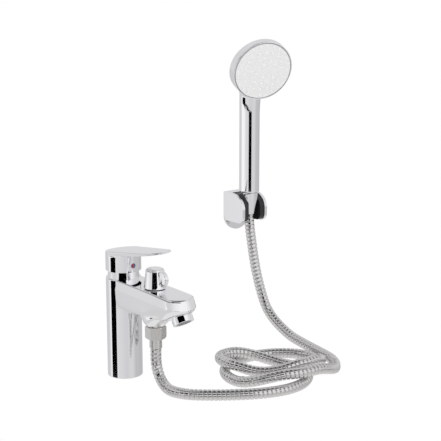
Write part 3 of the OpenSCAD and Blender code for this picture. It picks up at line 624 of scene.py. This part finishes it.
# %% [markdown]
# ## Nozzles
# The nozzles are soft tips that stand through the face in four rings, all on one mat behind it. They could be
# copied in a loop. But one dome, which Geometry Nodes puts at each point of a small mesh, is easier to
# change. The domes are made flat at the origin and moved to the face at the end. They stand for the mat.

# %% Nozzle node tree
tree, given, result = node_group("nozzles", [("Radius", "NodeSocketFloat"),
                                             ("Material", "NodeSocketMaterial")])
dome = add(tree, "GeometryNodeMeshUVSphere")
for socket, value in (("Segments", 20), ("Rings", 12)):
    dome.inputs[socket].default_value = value
smooth_dome = add(tree, "GeometryNodeSetShadeSmooth")
place = add(tree, "GeometryNodeInstanceOnPoints")
place.inputs["Scale"].default_value = (1, 1, 0.6)
realize = add(tree, "GeometryNodeRealizeInstances")
paint = add(tree, "GeometryNodeSetMaterial")
for a, b in ((given.outputs["Geometry"], place.inputs["Points"]),
             (given.outputs["Radius"], dome.inputs["Radius"]),
             (dome.outputs["Mesh"], smooth_dome.inputs["Geometry"]),
             (smooth_dome.outputs["Geometry"], place.inputs["Instance"]),
             (place.outputs["Instances"], realize.inputs["Geometry"]),
             (realize.outputs["Geometry"], paint.inputs["Geometry"]),
             (given.outputs["Material"], paint.inputs["Material"]),
             (paint.outputs["Geometry"], result.inputs["Geometry"])):
    tree.links.new(a, b)
print("nozzle tree", len(tree.nodes), "nodes")

# %% Nozzles
nozzle_step, nozzle_rings = 9, 4
spots = [(nozzle_step * k * math.cos(i * math.pi / 3 / k) * mm,
          nozzle_step * k * math.sin(i * math.pi / 3 / k) * mm, 0)
         for k in range(1, nozzle_rings + 1) for i in range(6 * k)]
spot_mesh = bpy.data.meshes.new("nozzle_spots")
spot_mesh.from_pydata(spots, [], [])
spot_source = bpy.data.objects.new("nozzle_spots", spot_mesh)
scene.collection.objects.link(spot_source)
nozzles = bake(spot_source, tree, {"Radius": 1.7 * mm, "Material": finish["soft_white"]}, "nozzle_tips")
nozzles.data.transform(shower_at @ face_at)
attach(nozzles, "hand_shower")
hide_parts("nozzle_mat")

# %% [markdown]
# ## Diverter knob
# The knob is a turned cone with a thumb lug on its side, a short disc on edge. A cone with a Bevel modifier
# would do. Here the profile is written out, with its fillets: the long flank is one straight line with a
# short ring at each end, so that smooth shading does not bend the flank's reflections.

# %% Knob
knob_profile = [(4, 130.6), (13.2, 130.6), (13.55, 130.75), (13.7, 131.1), (13.66, 131.5), (11.44, 152),
                (11.4, 152.4), (11.15, 153.1), (10.7, 153.8), (10.2, 154.3), (9.7, 154.55), (9.4, 154.6),
                (9.3, 154.5), (9.3, 152.6)]
knob = loft("knob", turned(knob_profile, centre=(diverter_x, 0)), "chrome", caps=(False, False))
lug_profile = [(8.5, -2.75), (8.9, -2.65), (9.2, -2.25), (9.2, -2), (9.2, 2), (9.2, 2.25), (8.9, 2.65),
               (8.5, 2.75)]
lug = loft("lug", turned(lug_profile), "chrome")
lug_at = (0.0859, 0, 0.1446)
lug.data.transform(Matrix.Translation(lug_at) @ Matrix.Rotation(math.pi / 2, 4, "X"))
knob = join("knob_skin", knob, lug)
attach(knob, "diverter")
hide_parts("diverter_knob")

# %% [markdown]
# ## The other pieces
# The bracket, nuts, seals, discs and screws are turned or flat, and already right in the CAD part. Drawing
# them again would add nothing. Each gets a copy of its mesh with its points joined, so that round walls shade
# smoothly, and the copy stands for the node.

# %% Welded copies
slot_of = {entry["node"]: entry["material_slot"] for entry in frame["record"]["subparts"]}
body_of = {node: name for name, nodes in frame["record"]["behaviour"]["bodies"].items() for node in nodes}
redrawn = {"hose_drop", "hose_coil", "hose_rise", "mixer_body", "lever_handle", "shower_shell",
           "nozzle_mat", "diverter_knob"}


def welded(node):
    made = bpy.data.objects.new(node + "_skin", cad_mesh(node))
    made.data.materials.append(finish[slot_of[node]])
    scene.collection.objects.link(made)
    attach(made, body_of[node])
    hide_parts(node)
    return made


skins = {node: welded(node) for node in frame["nodes"] if node not in redrawn}
print("welded", len(skins), "nodes")

# %% [markdown]
# ## Light
# The photo has a pure white ground and no shadow. The tones on the chrome are its studio: a light grey room,
# brighter in places, with black cards that show as stripes. Cards made of planes would have to be kept out of
# the picture and the export. So the world is that room: the camera sees white, and other rays see a grey that
# depends on their heading and their height, with the cards as dark patches. Two ramps give the grey at eye
# level and above it.

# %% Room
world = bpy.data.worlds.new("studio")
scene.world = world
world.use_nodes = True
room = world.node_tree
links = room.links
room.nodes.clear()
direction = add(room, "ShaderNodeTexCoord")
split = add(room, "ShaderNodeSeparateXYZ")
links.new(direction.outputs["Generated"], split.inputs["Vector"])
azimuth = add(room, "ShaderNodeMath", operation="ARCTAN2")
links.new(split.outputs["Y"], azimuth.inputs[0])
links.new(split.outputs["X"], azimuth.inputs[1])
share = add(room, "ShaderNodeMapRange")
for socket, value in (("From Min", -math.pi), ("From Max", math.pi)):
    share.inputs[socket].default_value = value
links.new(azimuth.outputs[0], share.inputs["Value"])


def ramp(stops, source):
    node = add(room, "ShaderNodeValToRGB")
    while len(node.color_ramp.elements) > 1:
        node.color_ramp.elements.remove(node.color_ramp.elements[-1])
    for i, (degrees, tone) in enumerate(stops):
        place_at = (degrees + 180) / 360
        element = node.color_ramp.elements[0] if i == 0 else node.color_ramp.elements.new(place_at)
        element.position = place_at
        element.color = (tone, tone, tone * 1.015, 1)
    links.new(source, node.inputs["Fac"])
    return node


level = ramp([(-180, 0.63), (-160, 0.65), (-148, 0.68), (-134, 0.88), (-127, 1.0), (-100, 0.95), (-80, 0.74),
              (-50, 0.70), (-20, 0.65), (5, 0.70), (22, 0.68), (42, 0.54), (62, 0.55), (95, 0.5), (125, 0.55),
              (180, 0.64)], share.outputs["Result"])
above = ramp([(-180, 0.72), (-145, 0.66), (-95, 0.68), (-60, 0.85), (-20, 0.96), (20, 0.94), (60, 0.7),
              (120, 0.7), (180, 0.72)], share.outputs["Result"])
rise = add(room, "ShaderNodeMath", operation="ARCSINE")
links.new(split.outputs["Z"], rise.inputs[0])
print("room", len(level.color_ramp.elements), "and", len(above.color_ramp.elements), "tones")

# %% [markdown]
# ### Cards
# A card is a patch between two headings and two heights, with soft edges. Each is where one piece mirrors it
# to the camera: the upright column looks a little down, the cone of the knob less so, the aerator high up.
# The neck leans, so its card leans too, and its stripe bends away from the grip's. A dim card high on the
# left draws the thin dark lines along the top edges.

# %% Card helpers
def step(source, start, end):
    """A smooth step from 0 to 1 between two angles in degrees; it falls where end is less than start."""
    node = add(room, "ShaderNodeMapRange", interpolation_type="SMOOTHSTEP")
    ends = (start, end, 0, 1) if start < end else (end, start, 1, 0)
    for socket, value in zip(("From Min", "From Max"), ends):
        node.inputs[socket].default_value = math.radians(value)
    node.inputs["To Min"].default_value, node.inputs["To Max"].default_value = ends[2:]
    links.new(source, node.inputs["Value"])
    return node.outputs["Result"]


def times(a, b):
    node = add(room, "ShaderNodeMath", operation="MULTIPLY")
    links.new(a, node.inputs[0])
    links.new(b, node.inputs[1])
    return node.outputs[0]


def over_room(below, amount, tone):
    """Puts a tone, or another ramp, over the room where the amount is 1."""
    node = add(room, "ShaderNodeMix", data_type="RGBA")
    if isinstance(tone, (int, float)):
        node.inputs["B"].default_value = (tone, tone, tone, 1)
    else:
        links.new(tone, node.inputs["B"])
    links.new(amount, node.inputs["Factor"])
    links.new(below, node.inputs["A"])
    return node.outputs["Result"]


def card(left, right, low, high, lean=0, soft=0.6):
    """Where a card stands: its sides as headings, its foot and top as heights, all in degrees. A leaning
    card's foot lies to the left of its top."""
    heading = add(room, "ShaderNodeMath", operation="MULTIPLY_ADD")
    heading.inputs[1].default_value = -lean
    links.new(rise.outputs[0], heading.inputs[0])
    links.new(azimuth.outputs[0], heading.inputs[2])
    left, right = left - lean * high, right - lean * high
    wide = times(step(heading.outputs[0], left, left + soft), step(heading.outputs[0], right, right - soft))
    tall = times(step(rise.outputs[0], low, low + soft), step(rise.outputs[0], high, high - soft))
    return times(wide, tall)


# %% Cards in the room
eye_level = (-7.6, -3.6)
tones = over_room(level.outputs["Color"], step(rise.outputs[0], *eye_level), above.outputs["Color"])
dark_ceiling = (56, 66, 0.12)
far_ground = (-23, -28, 0.66)
near_ground = (-38, -50, 0.8)
for start, end, tone in (dark_ceiling, far_ground, near_ground):
    tones = over_room(tones, step(rise.outputs[0], start, end), tone)
column_card = (-126, -86, -21.3, -11.9)
knob_card = (-69, -11, -5.6, 4)
grip_card = (-48, -15, -11.9, -6.4)
neck_card = (-48, -15, -14.4, -11.5, 26)
aerator_cards = ((-122, -80, 10.5, 26), (-84, -60, 16, 26), (-84, -13, 24, 46))
for place_of_card in (column_card, knob_card, grip_card, neck_card, *aerator_cards):
    tones = over_room(tones, card(*place_of_card), 0.0)
edge_card = (-155, -112, 3.5, 32)
tones = over_room(tones, card(*edge_card), 0.3)
print("room and cards", len(room.nodes), "nodes")

# %% Camera sees white
studio = add(room, "ShaderNodeBackground")
links.new(tones, studio.inputs["Color"])
white = add(room, "ShaderNodeBackground")
white.inputs["Color"].default_value = (1, 1, 1, 1)
rays = add(room, "ShaderNodeLightPath")
choose = add(room, "ShaderNodeMixShader")
output = add(room, "ShaderNodeOutputWorld")
links.new(rays.outputs["Is Camera Ray"], choose.inputs["Fac"])
links.new(studio.outputs["Background"], choose.inputs[1])
links.new(white.outputs["Background"], choose.inputs[2])
links.new(choose.outputs["Shader"], output.inputs["Surface"])
print("background white, strength", white.inputs["Strength"].default_value)

# %% [markdown]
# ### Lamp
# Chrome needs no lamp, but the white face and the black plastic do. A large soft lamp beside the camera gives
# them their shape. Mirrors would show it as a bright square, so it is kept out of them.

# %% Lamp
lamp_data = bpy.data.lights.new("soft_lamp", "AREA")
lamp_data.energy = 9
lamp_data.size = 1.2
lamp = bpy.data.objects.new("soft_lamp", lamp_data)
lamp.location = (1.3, -0.7, 0.4)
lamp.visible_glossy = False
lamp.rotation_euler = (Vector((0, 0.1, 0.2)) - lamp.location).to_track_quat("-Z", "Y").to_euler()
scene.collection.objects.link(lamp)
print("lamp", lamp_data.energy, "W")

# %% [markdown]
# ## Finish
# The picture uses the Standard view, so tones come out as they are set.

# %% Finish
scene.view_settings.view_transform = "Standard"
